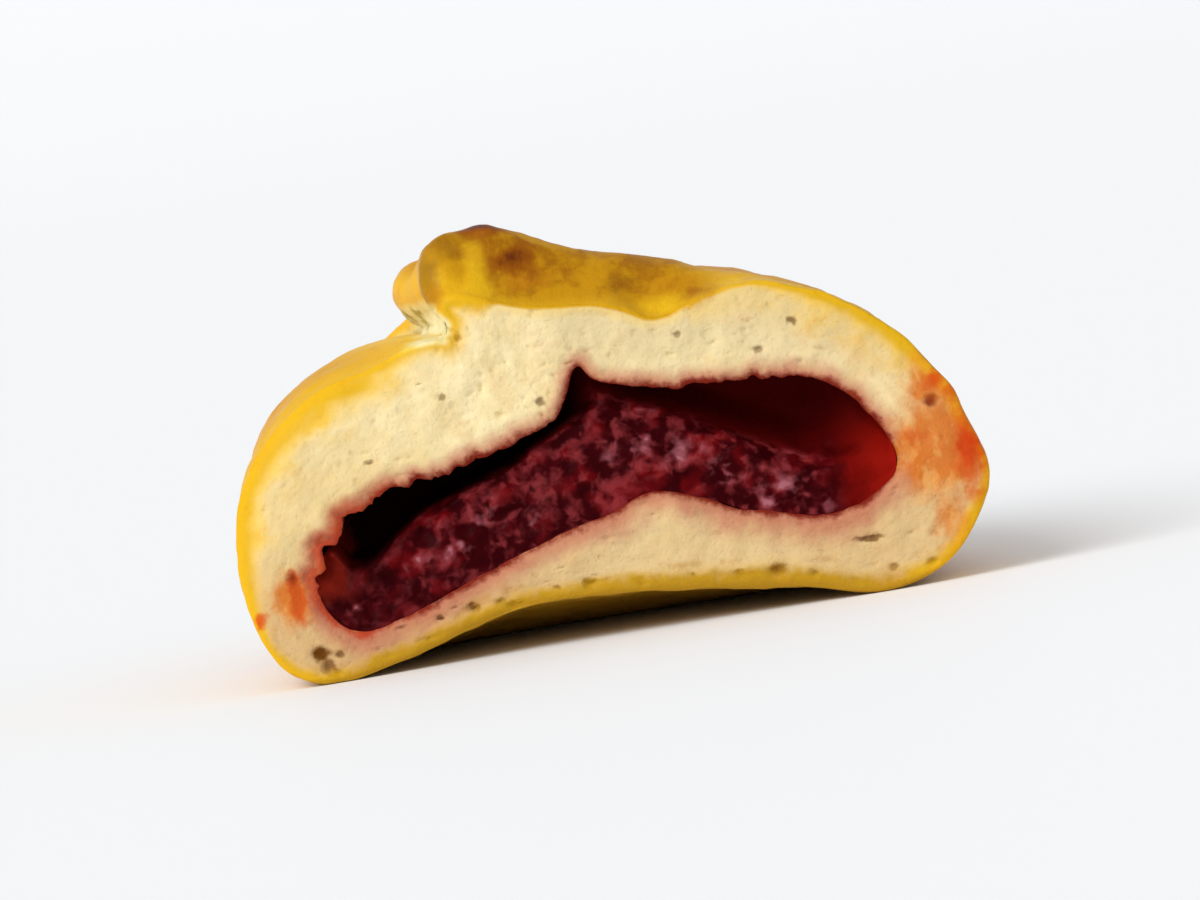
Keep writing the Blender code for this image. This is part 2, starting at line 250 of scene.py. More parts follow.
# how far the knife drew the upper crust down where it went in
def knifePress(flat, y):
    x, z = flat[:, 0], flat[:, 1]
    top = 2.6 * mm * np.exp(-(((x - 4.0 * mm) / (12.0 * mm)) ** 4))
    side = 1.5 * mm * smoothStep(-x / mm, 11.0, 20.0)
    dent = 1.9 * mm * bell(x, 8.8 * mm, 3.4 * mm)
    upper = smoothStep(z, 0.35 * bun["bodyHeight"], 0.85 * bun["bodyHeight"])
    return upper * ((top + side) * bell(y, 0.0, 6.0 * mm) + dent * bell(y, 0.0, 4.0 * mm))


# broad swells of the surface, and the lumps of the side
def surfaceSwell(flat, t):
    x, z = flat[:, 0], flat[:, 1]
    y = t * bun["length"]
    lump = waves(y / (6.1 * mm) + x / (9.0 * mm), 0.4) * waves(z / (7.0 * mm) - x / (11.0 * mm), 1.9)
    lump *= 0.45 * mm
    strength = smoothStep(z / mm, 2.0, 9.0) * smoothStep(y / mm, 3.0, 12.0)
    strength *= 1.0 - smoothStep(t, 0.9, 1.0)
    side = np.tanh((x - middle(t)) / (6.0 * mm)) * lump * strength
    for x0, z0, radius, height in bun["sideLumps"]:
        near = np.exp(-((x / mm - x0) ** 2 + (z / mm - z0) ** 2) / radius**2)
        side += height * mm * near * bell(y, 0.0, 7.0 * mm)
    return np.column_stack([side, lump * strength])


# the dough is pinched shut before the tip, so a crease round the seam's side leaves a knob
def tipPinch(flat, seam, t):
    near = np.exp(-((np.linalg.norm(flat - seam, axis=1) / (8.0 * mm)) ** 2))
    inward = np.array([middle(t), 0.5 * (baseHeight(t) + topHeight(t))]) - flat
    inward /= np.maximum(np.linalg.norm(inward, axis=1), 1.0e-6)[:, None]
    return inward * (2.4 * mm * near * bell(t, 0.885, 0.034))[:, None]


# one section of the skin: x and z of its columns, and each column's distance from the seam,
# below zero on the lip's side
def skinRing(t):
    curve = bodySection(t)
    total = runLength(curve)[-1]
    height = lipHeight(t)
    flap = bun["flapWidth"] * widthShare(t)
    seam, normal = along(curve, [0.0])
    up = normal[0]
    across = np.array([up[1], -up[0]])

    radius = 0.46 * height
    centre = seam[0] + across * (radius - lipReach(t)) + up * 0.54 * height
    turn = np.radians(np.linspace(bun["lipTurn"], 90.0, bun["lipColumns"]))
    lip = centre + radius * (np.outer(np.cos(turn), across) + np.outer(np.sin(turn), up))

    start = (centre - seam[0]) @ across + 0.5 * height
    flapAt = np.linspace(start, flap, bun["flapColumns"])
    points, out = along(curve, flapAt)
    share = (flapAt - start) / (flap - start)
    fall = (1.0 - share) ** 1.8 - 0.06 * bell(share, 0.22, 0.12) + 0.07 * bell(share, 0.55, 0.13)
    top = points + out * (height * fall)[:, None]
    arrive = (top[1] - top[0]) / np.linalg.norm(top[1] - top[0])
    crest = easedRun(lip[-1], across, top[0], arrive, bun["crestColumns"])
    crestAt = -runLength(np.vstack([lip[-1:], crest, top[:1]]))

    wallAt = np.linspace(flap, total, bun["wallColumns"] + 2)[1:-1]
    wall, out = along(curve, wallAt)
    groove = 0.7 * mm * np.exp(-(((total - wallAt) / (3.5 * mm)) ** 2)) * (1.0 - smoothStep(t, 0.9, 1.0))
    wall -= out * groove[:, None]

    flat = np.vstack([seam, lip, crest, top, wall])
    flat[:, 1] -= knifePress(flat, t * bun["length"])
    flat += surfaceSwell(flat, t) + tipPinch(flat, seam[0], t)
    lipAt = -radius * (turn[0] - turn) - 0.4 * mm
    flapGap = lipAt[-1] + crestAt[-1] - (flapAt - start)
    seamGap = np.concatenate([[0.0], lipAt, lipAt[-1] + crestAt[1:-1], flapGap, total - wallAt])
    return flat, seamGap


def pocketOutline(count):
    return closedCurve(pocket["outline"], count) * cutSize


# the pocket's outline shrinks towards its rounded end
def pocketAt(flat, y):
    share = np.clip(y / pocket["length"], 0.0, 1.0)
    size = (1.0 - share**2.4) ** 0.6
    return pocketCentre + np.array([middle(y / bun["length"]), 0.0]) + (flat - pocketCentre) * size


# the pocket's roof is torn, most over its left lobe, so its edge is ragged there
def tornRim(rim):
    x, z = rim[:, 0], rim[:, 1]
    ahead = np.roll(rim, -1, axis=0) - np.roll(rim, 1, axis=0)
    ahead /= np.linalg.norm(ahead, axis=1)[:, None]
    out = np.column_stack([-ahead[:, 1], ahead[:, 0]])
    roof = smoothStep(z - 0.36 * x, 17.0 * mm, 21.0 * mm) * smoothStep(-x / mm, 0.0, 5.0)
    drips = roof * smoothStep(-x / mm, 13.0, 18.0)
    right = smoothStep(x / mm, 6.0, 11.0) * (1.0 - smoothStep(x / mm, 19.0, 24.0))
    right *= smoothStep(z / mm, 19.0, 21.0)
    flat = np.insert(rim, 1, 0.0, axis=1)
    tear = grain(flat, 1.5 * mm, 3, 31.0) * (0.1 + 0.42 * roof + 0.45 * drips + 0.38 * right)
    tear += 0.22 * grain(flat, 5.0 * mm, 2, 33.0)
    spike = np.exp(-((np.linalg.norm(rim - np.array([0.5, 26.0]) * mm, axis=1) / (1.6 * mm)) ** 2))
    return rim + out * (tear * mm * (1.0 - spike))[:, None]  # the fold's sharp tip stays whole


# the pocket's rim with one point for each column of the cut's outer edge: the crest over the fold,
# the widest places and the arch each meet their own
def matchedRim(edge):
    rim = pocketOutline(2400)[::-1]
    rim = np.roll(rim, -int(np.argmax(rim[:, 1] - 0.9 * np.abs(rim[:, 0] - 0.5 * mm))), axis=0)
    rim = tornRim(rim)
    floor = np.where((rim[:, 1] < 0.45 * bun["bodyHeight"]) & (np.abs(rim[:, 0] - 6.5 * mm) < 3.0 * mm))[0]
    rimKeys = [0, np.argmax(rim[:, 0]), floor[np.argmax(rim[floor, 1])], np.argmin(rim[:, 0]), len(rim)]
    run = runLength(np.vstack([edge, edge[:1]]))
    crest = int(np.argmin(np.abs(edge[:, 0] + 2.0 * mm) + 10.0 * (edge[:, 1] < 0.6 * bun["bodyHeight"])))
    under = np.where(edge[:, 1] < 0.2 * bun["bodyHeight"])[0]
    arch = under[np.argmin(np.abs(edge[under, 0] - 2.0 * mm))]
    keys = [crest, np.argmax(edge[:, 0]), arch, np.argmin(edge[:, 0])]
    keyRun = [*run[keys], run[-1] + run[crest]]
    at = np.where(run[:-1] < run[crest], run[:-1] + run[-1], run[:-1])
    at = np.interp(at, keyRun, rimKeys) % len(rim)
    closed = np.vstack([rim, rim[:1]])
    return np.column_stack([np.interp(at, np.arange(len(closed)), closed[:, axis]) for axis in (0, 1)])


# spreads the rows between the crust and the pocket so that no two cross
def evenRows(face, rounds=700):
    for _ in range(rounds):
        across = 0.5 * (np.roll(face, -1, axis=1) - np.roll(face, 1, axis=1))[1:-1]
        inward = 0.5 * (face[2:] - face[:-2])
        first = np.sum(inward**2, axis=2, keepdims=True)
        second = np.sum(across**2, axis=2, keepdims=True)
        both = np.sum(across * inward, axis=2, keepdims=True)
        sides = (np.roll(face, -1, axis=1) + np.roll(face, 1, axis=1))[1:-1]
        ends = face[2:] + face[:-2]
        corners = 0.25 * (np.roll(face[2:], -1, axis=1) - np.roll(face[2:], 1, axis=1)
                          - np.roll(face[:-2], -1, axis=1) + np.roll(face[:-2], 1, axis=1))
        moved = (first * sides + second * ends - 2.0 * both * corners) / (2.0 * (first + second) + 1.0e-18)
        face[1:-1] += 0.9 * (moved - face[1:-1])
    return face


def nearest(points, others):
    gaps = [np.min(np.linalg.norm(others - point, axis=1)) for point in points.reshape(-1, 2)]
    return np.array(gaps).reshape(points.shape[:-1])


# how thick the browned rind shows at the cut, in millimetres: widest at the upper left and over the lip
def rindWidth(face):
    x, z = face[..., 0] / mm, face[..., 1] / mm
    left = np.interp(z, (0.0, 4.0, 10.0, 15.0, 19.0, 21.5, 25.0, 27.4, 28.6, 31.0),
                     (1.1, 1.1, 1.7, 2.1, 1.9, 2.4, 2.9, 2.4, 1.5, 1.1))
    right = np.interp(z, (0.0, 4.0, 9.0, 12.0, 20.0, 26.0, 29.0, 31.0),
                      (1.4, 1.7, 1.4, 1.3, 1.6, 1.7, 1.2, 0.6))
    under = np.interp(x, (-30.0, -20.0, -10.0, 5.0, 20.0, 32.0), (1.4, 1.7, 2.0, 2.3, 2.3, 1.8))
    lip = 0.45 + 1.4 * smoothStep(-x, 5.5, 8.0)
    side = smoothStep(-x, 10.5, 12.5)
    upper = side * left + (1.0 - side) * np.where(x > 12.0, right, lip)
    low = 1.0 - smoothStep(z, 5.0, 9.0)
    side = smoothStep(np.abs(x), 28.5, 32.5)
    return (low * (side * upper + (1.0 - side) * under) + (1.0 - low) * upper) * mm


# how deep the pits of the air pockets are
def crumbPores(face):
    pick = np.random.default_rng(bun["seed"])
    pores = [pore[:4] for pore in bun["pores"]]
    rows, columns = face.shape[:2]
    spots = pick.integers(5, rows - 5, bun["finePores"]), pick.integers(0, columns, bun["finePores"])
    for row, column in zip(*spots):
        x, z = face[row, column] / mm
        wide = pick.uniform(0.35, 0.8)
        pores.append((x, z, wide, wide * pick.uniform(0.5, 0.9)))
    depth = np.zeros(face.shape[:2])
    flat = np.insert(face, 1, 0.0, axis=2)
    bentX = face[..., 0] / mm + 0.3 * grain(flat, 0.7 * mm, 2, 41.0)
    bentZ = face[..., 1] / mm + 0.3 * grain(flat, 0.7 * mm, 2, 43.0)
    for x, z, wide, high in pores:
        away = np.hypot((bentX - x) / wide, (bentZ - z) / high) * 2.2
        depth += 0.42 * min(wide, 1.2) * mm * np.exp(-(away**2))
    return depth


# rows of points from the tip over the skin to the cut, across it and back through the pocket,
# with each point's distance from the seam, from the crust and from the jam
def doughShape():
    columns = 1 + sum(bun[run] for run in ("lipColumns", "crestColumns", "flapColumns", "wallColumns"))
    stops = np.linspace(0.0, 1.0, bun["skinRows"])
    stops = stops - 0.6 / (2.0 * math.pi) * np.sin(2.0 * math.pi * stops)
    skin, gaps = [], []
    for t in stops[:-1]:
        flat, seamGap = skinRing(t)
        skin.append(np.column_stack([flat[:, 0], np.full(columns, t * bun["length"]), flat[:, 1]]))
        gaps.append(seamGap)
    skin.append(np.tile([middle(1.0), bun["length"], bun["tipHeight"]], (columns, 1)))
    gaps.append(gaps[-1])
    skin, gaps = np.array(skin[::-1]), np.array(gaps[::-1])  # from the tip to the cut

    edge = skin[-1][:, (0, 2)]
    rim = matchedRim(edge)
    step = np.linspace(0.0, 1.0, bun["crumbRows"] + 1)[:, None, None]
    face = evenRows(edge + (rim - edge) * step)[1:]
    depths = np.linspace(0.0, math.pi, bun["pocketRows"] + 1)[1:]
    depths = 0.5 * pocket["length"] * (1.0 - np.cos(depths))
    inside = np.array([np.insert(pocketAt(rim, y), 1, y + 0.3 * mm, axis=1) for y in depths])
    cut = np.insert(face, 1, 0.0, axis=2)
    rolled = smoothStep(-edge[:, 0] / mm, 8.0, 26.0) * smoothStep(edge[:, 1] / mm, 2.0, 12.0)
    edgeBack = (0.3 + 1.6 * rolled) * mm
    skin[..., 1] += edgeBack * np.clip(1.0 - skin[..., 1] / (5.0 * mm), 0.0, 1.0)
    places = np.vstack([skin, cut, inside])

    first, last = len(skin), len(skin) + len(cut)
    rind, wet = (np.full(places.shape[:2], value) for value in (9.0, 30.0))
    toEdge, toRim = nearest(face, edge), nearest(face, rim)
    rind[:first] = 0.0
    rind[first:last] = toEdge / rindWidth(face)
    wet[first:last] = toRim / mm
    wet[last:] = -2.0

    relief = crumbPores(face)
    inner = smoothStep(toEdge / mm, 0.2, 1.2) * smoothStep(toRim / mm, 0.1, 0.9)
    uneven = 0.07 * grain(cut, 0.8 * mm, 3) + 0.16 * grain(cut, 2.4 * mm, 2, 3.0)
    uneven += 0.32 * grain(cut, 6.0 * mm, 2, 7.0)
    relief += inner * mm * uneven
    rollWidth = (0.7 + 2.7 * rolled) * mm
    relief += edgeBack * np.clip(1.0 - toEdge / rollWidth, 0.0, 1.0) ** 2
    relief += 0.35 * mm * np.exp(-toRim / (0.45 * mm))
    places[first:last, :, 1] += relief
    return places, gaps, rind, wet, first


# moves the skin along its normals by the small relief of baked dough
def crustRelief(places, gaps, first):
    skin = places[:first]
    ahead, behind = np.roll(skin, -1, axis=1), np.roll(skin, 1, axis=1)
    up = np.gradient(skin, axis=0)
    normal = np.cross(up, ahead - behind)
    normal /= np.maximum(np.linalg.norm(normal, axis=2), 1.0e-12)[..., None]
    soft = grain(skin, 5.5 * mm, 2, 3.0)
    fine = grain(skin, 1.3 * mm, 3, 5.0)
    crease = np.exp(-((gaps / (2.4 * mm)) ** 2)) * (gaps >= 0.0)
    lump = grain(skin, 2.6 * mm, 2, 13.0)
    folds = crease * grain(skin, 1.6 * mm, 2, 9.0)
    push = mm * (0.2 * soft + 0.1 * lump + 0.045 * fine + 0.06 * folds)
    y = skin[..., 1]
    push *= smoothStep(skin[..., 2] / mm, 0.3, 2.0)
    push -= 0.28 * mm * (1.0 - smoothStep(y / mm, 0.0, 0.5))
    push *= 1.0 - smoothStep(y, 0.97 * bun["length"], bun["length"])
    places[:first] = skin + normal * push[..., None]
    return places


# where the crust browned most: along the lip, at the tip and in single spots
def browning(places, gaps, first):
    skin = places[:first]
    y, z, length = skin[..., 1], skin[..., 2], bun["length"]
    patch = grain(skin, 8.0 * mm, 2, 21.0)
    ragged = np.stack([grain(skin, 1.7 * mm, 3, phase) for phase in (51.0, 57.0, 63.0)], axis=-1)
    lip = bell(gaps, -7.0 * mm, 3.6 * mm) * smoothStep(y / mm, 13.0, 24.0)
    lip *= 0.25 + 0.95 * smoothStep(patch, 0.0, 0.6)
    lip *= 1.0 - 0.75 * smoothStep(y, 0.7 * length, 0.86 * length)
    turned = smoothStep(skin[..., 0] - middle(1.0), -6.0 * mm, 5.0 * mm)
    tip = smoothStep(y + 6.0 * mm * patch, 0.74 * length, 1.06 * length) * (0.6 - 0.26 * turned)
    brown = 0.8 * lip + tip + (0.16 + 0.1 * tip) * patch * smoothStep(z / mm, 2.0, 8.0)
    for x0, y0, z0, radius, strength in bun["browned"]:
        away = (skin / mm - np.array([x0, y0, z0])) / radius + 0.42 * ragged
        brown += strength * np.exp(-np.sum(away**2, axis=2))
    brown = np.clip(brown, 0.0, 1.0)
    return np.vstack([brown, np.tile(brown[-1], (len(places) - first, 1))])


# a sheet of rows and columns whose long sides meet
def rolledSheet(name, places, layers):
    rows, columns = places.shape[:2]
    sheet = bmesh.new()
    bmesh.ops.create_grid(sheet, x_segments=rows - 1, y_segments=columns, size=0.5)
    marks = {label: sheet.verts.layers.float.new(label) for label in layers}
    for corner in sheet.verts:
        row = round((corner.co.x + 0.5) * (rows - 1))
        column = round((corner.co.y + 0.5) * columns) % columns
        corner.co = places[row, column]
        for label, mark in marks.items():
            corner[mark] = layers[label][row, column]
    bmesh.ops.remove_doubles(sheet, verts=sheet.verts, dist=1.0e-7)
    bmesh.ops.dissolve_degenerate(sheet, dist=1.0e-7, edges=sheet.edges)
    faceOut(sheet)
    return finishedPiece(name, sheet)


def faceOut(shape):
    bmesh.ops.recalc_face_normals(shape, faces=shape.faces)
    if shape.calc_volume(signed=True) < 0.0:
        bmesh.ops.reverse_faces(shape, faces=shape.faces)


def finishedPiece(name, shape):
    for face in shape.faces:
        face.smooth = True
    mesh = bpy.data.meshes.new(name)
    shape.to_mesh(mesh)
    shape.free()
    piece = bpy.data.objects.new(name, mesh)
    bpy.context.scene.collection.objects.link(piece)
    return piece


doughLow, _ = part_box("dough")
places, seamGaps, rind, wet, first = doughShape()
skinLow = places[:first].min(axis=(0, 1))
places = crustRelief(places, seamGaps, first)
brown = browning(places, seamGaps, first)
shift = np.array([doughLow.x - skinLow[0], doughLow.y, doughLow.z - skinLow[2]])
rowsInside = len(places) - first
# 1 along the seam, its lip and its band, 0 on the far side, where the distance from the seam jumps
beside = np.concatenate([np.ones(1 + bun["lipColumns"] + bun["crestColumns"]),
                         1.0 - smoothStep(np.linspace(0.0, 1.0, bun["flapColumns"]), 0.72, 0.97),
                         smoothStep(np.linspace(0.0, 1.0, bun["wallColumns"]), 0.3, 0.6)])
layers = {
    "cut": np.vstack([np.zeros((first, places.shape[1])), np.ones((rowsInside, places.shape[1]))]),
    "rind": rind,
    "wet": wet,
    "brown": brown,
    "beside": np.tile(beside, (len(places), 1)),
    "seam": np.vstack([seamGaps, np.tile(seamGaps[-1], (rowsInside, 1))]) / mm,
}
doughPiece = rolledSheet("bunDough", places + shift, layers)
print("dough:", len(doughPiece.data.polygons), "faces")


# The jam: its front is a sheet between the pocket's floor and a top that sags away from the roof
jam = {
    "seed": 11,
    "gap": -0.06 * mm,
    "columns": 250,
    "rows": 84,
    "backRows": 18,
    "backGap": 1.2 * mm,
    "lumpSize": 3.1 * mm,
    # the lit front's upper border, x and z in millimetres; above it the jam lies deep in the pocket
    "border": (
        (-27.0, 15.0), (-25.2, 13.6), (-23.8, 11.4), (-21.5, 11.6), (-19.8, 13.0), (-16.8, 15.2), (-12.3, 16.9),
        (-6.8, 18.9), (-3.7, 20.8), (-0.9, 21.9), (1.9, 22.2), (7.5, 20.6), (13.4, 17.2), (16.3, 15.4),
        (20.6, 13.3), (24.6, 13.0), (30.0, 14.5)),
    # pale lumps of fruit on the front, which also stand as painted highlights of the wet jam: x, z and radius
    # in millimetres
    "pulp": (
        (-13.0, 11.2, 2.2), (-10.2, 13.2, 1.8), (-17.5, 10.0, 1.5), (-6.0, 12.6, 1.4), (2.6, 17.4, 1.7),
        (5.6, 18.2, 1.8), (9.0, 16.6, 2.0), (13.0, 14.2, 2.0), (17.0, 11.2, 1.8), (19.2, 11.8, 2.0),
        (22.2, 9.2, 1.4), (-24.2, 6.2, 1.4)),
}


def jamBorder(x):
    return np.interp(x / mm, *zip(*jam["border"])) * mm


# how far behind the cut the jam's face lies: low on the pocket's floor it swells out to the cut,
# under the roof it falls back, and the right lobe is hollow above the border
def jamDepth(x, z, up, inEnds):
    above = z - jamBorder(x)
    left = smoothStep(above / mm, -1.5, 0.6) * smoothStep(-x / mm, -3.0, 2.0)
    hollow = smoothStep(above / mm, -1.4, 4.5) * smoothStep(x / mm, -1.0, 7.0)
    hollow *= 1.0 - 0.62 * smoothStep(x / mm, 20.0, 27.5)
    slope = 1.3 * smoothStep(up, 0.25, 1.0) * inEnds
    return (0.35 + slope) * mm + 7.0 * mm * hollow + 5.0 * mm * left


# the front as a sheet between floor and roof, and behind it the rows that run back through the pocket
def jamShape():
    outline = pocketOutline(1200)
    inward = np.roll(outline, -1, axis=0) - np.roll(outline, 1, axis=0)
    inward /= np.linalg.norm(inward, axis=1)[:, None]
    outline = outline + np.column_stack([-inward[:, 1], inward[:, 0]]) * jam["gap"]
    left, right = int(np.argmin(outline[:, 0])), int(np.argmax(outline[:, 0]))
    floor = np.roll(outline, -left, axis=0)[: (right - left) % len(outline) + 1]
    roof = np.roll(outline, -right, axis=0)[: (left - right) % len(outline) + 1]
    floor, roof = evenRun(floor, jam["columns"] + 1), evenRun(roof[::-1], jam["columns"] + 1)
    noise.seed_set(jam["seed"])  # without it the bends below differ in each run
    shape = bmesh.new()
    bmesh.ops.create_grid(shape, x_segments=jam["columns"], y_segments=jam["rows"], size=0.5)
    labels = ("calm", "lump", "deep", "pulp", "under")
    marks = {label: shape.verts.layers.float.new(label) for label in labels}
    for corner in shape.verts:
        column, up = round((corner.co.x + 0.5) * jam["columns"]), corner.co.y + 0.5
        x, z = floor[column] * (1.0 - up) + roof[column] * up
        inEnds = smoothStep(min(column, jam["columns"] - column), 0.0, 9.0)
        depth = float(jamDepth(x, z, up, inEnds))
        place = Vector((x, depth, z))
        bend = noise.noise_vector(place / (3.0 * mm)) * 1.5 * mm
        far = noise.voronoi((place + bend) / jam["lumpSize"])[0]
        lumps = 1.6 * sum(math.exp(-((away / 0.38) ** 2)) for away in far) - 0.65
        lumps += 0.22 * noise.fractal(place / (1.3 * mm), 1.0, 2.0, 2)
        # spots of pale fruit, which also serve as painted highlights of the wet jam
        spots = [math.hypot(x / mm - x0, z / mm - z0) / radius for x0, z0, radius in jam["pulp"]]
        pulp = math.exp(-(min(spots) ** 2))
        pulp *= 0.85 + 0.9 * noise.fractal((place + bend) / (1.3 * mm), 1.0, 2.0, 2)
        broad = noise.fractal(place / (6.0 * mm) + Vector((3.0, 1.0, 2.0)), 1.0, 2.0, 2)
        calm = float(max(smoothStep(depth / mm, 2.2, 5.0), smoothStep(x / mm, 20.5, 25.5)))
        inner = min(1.0, 7.0 * up * (1.0 - up)) * inEnds
        rise = inner * mm * ((1.0 - 0.85 * calm) * 0.52 * lumps + 0.55 * broad)
        corner.co = (x, max(depth - rise, 0.05 * mm), z)
        corner[marks["calm"]] = calm
        corner[marks["lump"]] = 0.5 + 0.5 * lumps
        corner[marks["pulp"]] = pulp
        corner[marks["deep"]] = depth / mm
        corner[marks["under"]] = (float(jamBorder(x)) - z) / mm
    edges = [edge for edge in shape.edges if edge.is_boundary]
    source = shape.verts.layers.int.new("source")
    shape.verts.index_update()
    for corner in shape.verts:
        corner[source] = corner.index
    front = {corner.index: tuple(corner.co) for corner in shape.verts}
    back = pocket["length"] - jam["backGap"]
    for share in np.linspace(0.0, 1.0, jam["backRows"] + 1)[1:]:
        grown = bmesh.ops.extrude_edge_only(shape, edges=edges)["geom"]
        edges = [item for item in grown if isinstance(item, bmesh.types.BMEdge)]
        for corner in (item for item in grown if isinstance(item, bmesh.types.BMVert)):
            x, near, z = front[corner[source]]
            y = near + (back - near) * 0.5 * (1.0 - math.cos(math.pi * share))
            corner.co = np.insert(pocketAt(np.array([x, z]), y), 1, y)
            corner[marks["deep"]] = y / mm
            corner[marks["under"]] = 0.0
            corner[marks["calm"]] = 1.0
    bmesh.ops.edgeloop_fill(shape, edges=edges)
    bmesh.ops.remove_doubles(shape, verts=shape.verts, dist=2.0e-6)
    faceOut(shape)
    bmesh.ops.translate(shape, verts=shape.verts, vec=Vector(shift))
    return finishedPiece("strawberryJam", shape)


jamPiece = jamShape()
print("jam:", len(jamPiece.data.polygons), "faces")


# a shader socket that adds, multiplies and compares like a number
class Link:
    def __init__(self, recipe, socket):
        self.recipe, self.socket = recipe, socket

    def math(self, operation, first, second=None):
        values = {index: value for index, value in enumerate((first, second)) if value is not None}
        return self.recipe.node("ShaderNodeMath", {"operation": operation}, values)

    def __add__(self, other):
        return self.math("ADD", self, other)

    def __radd__(self, other):
        return self.math("ADD", other, self)

    def __sub__(self, other):
        return self.math("SUBTRACT", self, other)

    def __rsub__(self, other):
        return self.math("SUBTRACT", other, self)

    def __mul__(self, other):
        return self.math("MULTIPLY", self, other)

    def least(self, other):
        return self.math("MINIMUM", self, other)

    def most(self, other):
        return self.math("MAXIMUM", self, other)

    def size(self):
        return self.math("ABSOLUTE", self)

    def clip(self):
        return self.most(0.0).least(1.0)

    def fall(self, start, end):
        return self.ramp(start, end, 1.0, 0.0)

    # low below start, high above end, eased between
    def ramp(self, start, end, low=0.0, high=1.0):
        settings = {"interpolation_type": "SMOOTHSTEP"}
        return self.recipe.node("ShaderNodeMapRange", settings, {0: self, 1: start, 2: end, 3: low, 4: high})


# a material under construction; its lengths are in millimetres
class Recipe:
    def __init__(self, name):
        self.material = bpy.data.materials.new(name)
        self.material.use_nodes = True
        self.tree = self.material.node_tree
        self.shader = self.tree.nodes["Principled BSDF"]
        self.spot = self.node("ShaderNodeTexCoord", output="Object")

    def node(self, kind, settings=None, sockets=None, output=0):
        made = self.tree.nodes.new(kind)
        for label, value in (settings or {}).items():
            setattr(made, label, value)
        for label, value in (sockets or {}).items():
            self.put(value, made.inputs[label])
        return Link(self, made.outputs[output])

    def put(self, value, socket):
        if isinstance(value, Link):
            self.tree.links.new(value.socket, socket)
        else:
            socket.default_value = value

    def marks(self, *labels):
        return [self.node("ShaderNodeAttribute", {"attribute_name": label}, output="Fac") for label in labels]

    def axis(self, label):
        return self.node("ShaderNodeSeparateXYZ", None, {0: self.spot}, output=label) * (1.0 / mm)

    # fractal noise about zero, with features of the given size
    def noise(self, size, detail=3.0, roughness=0.55, place=None, output=0):
        sockets = {"Scale": 1.0 / (size * mm), "Detail": detail, "Roughness": roughness}
        made = self.node("ShaderNodeTexNoise", None, {"Vector": place or self.spot, **sockets}, output)
        return made - 0.5 if output == 0 else made

    def cells(self, size, place, output=0):
        return self.node("ShaderNodeTexVoronoi", None, {"Vector": place, "Scale": 1.0 / (size * mm)}, output)

    def vector(self, operation, *values, output=0):
        return self.node("ShaderNodeVectorMath", {"operation": operation}, dict(enumerate(values)), output)

    # the piece's own coordinates, bent by a noise of the given size and reach
    def bent(self, size, reach, detail=2.0):
        swirl = self.vector("SUBTRACT", self.noise(size, detail, output=1), (0.5,) * 3)
        return self.vector("MULTIPLY_ADD", swirl, (reach * mm,) * 3, self.spot)

    def stretched(self, place, scales):
        return self.vector("MULTIPLY", place, scales)

    # 1 at a place on the piece, easing to 0 at the given radii along X, Y and Z
    def patch(self, place, radii, warp):
        away = self.vector("SUBTRACT", warp, tuple(value * mm for value in place))
        away = self.vector("DIVIDE", away, tuple(value * mm for value in radii))
        return self.vector("LENGTH", away, output="Value").fall(0.0, 1.0)

    # the strongest of several patches at each point
    def patches(self, spots, warp):
        made = [self.patch(place, radii, warp) * strength for place, radii, strength in spots]
        strongest = made[0]
        for other in made[1:]:
            strongest = strongest.most(other)
        return strongest

    def mix(self, amount, first, second):
        first, second = (value if isinstance(value, Link) else (*value, 1.0) for value in (first, second))
        return self.node("ShaderNodeMix", {"data_type": "RGBA"}, {0: amount, 6: first, 7: second}, output=2)

    # lays colours over each other, each by its amount
    def layers(self, colour, *coats):
        for amount, coat in coats:
            colour = self.mix(amount, colour, coat)
        return colour

    def bump(self, height, distance, strength):
        sockets = {"Height": height, "Distance": distance * mm, "Strength": strength}
        return self.node("ShaderNodeBump", None, sockets)

    def feed(self, **sockets):
        for label, value in sockets.items():
            self.put(value, self.shader.inputs[label.replace("_", " ")])
        return self.material


def hexColour(text):
    parts = [int(text[i:i + 2], 16) / 255.0 for i in (0, 2, 4)]
    return tuple(part / 12.92 if part <= 0.04045 else ((part + 0.055) / 1.055) ** 2.4 for part in parts)


def palette(**codes):
    return {name: hexColour(code) for name, code in codes.items()}


crustColours = palette(
    gold="d89c0c", bright="e8b41a", amber="bc7604", top="bd860c", topShade="955c06", brown="8c4806",
    darkBrown="642b08", glazeEdge="ecd25e", bare="f1e3b2", bareShade="d8cc88", fold="9c8c3c", base="ab7f1e",
    rind="dcac20", stain="d0480e", wash="dc8a1e", olive="8a5e0a", tawny="b8760e", lemon="f0c01c")
crumbColours = palette(
    cream="f5e2b0", shade="ead39c", crest="e0cb9a", yellow="eec558", left="e4c88c", tan="d6b47e",
    lowLeft="c8996a", pink="c0765c", red="7e2418", fringe="9c4430", orange="b8442a", pit="b98f4a",
    pore="6b3d08", stain="cb561e", wash="d07020", peach="e0984e", streak="c2360c", speck="7c1c08")
jamColours = palette(
    dark="330307", raised="6a0d12", red="780a0e", crack="280206", tissue="923438", pulp="965058",
    pulpLeft="883a40", core="ac6c76", lowEnd="1c0104", calm="440203", recess="500604", shade="160103",
    gap="0c0101", rightEnd="94140a", leftEnd="7a1c10")

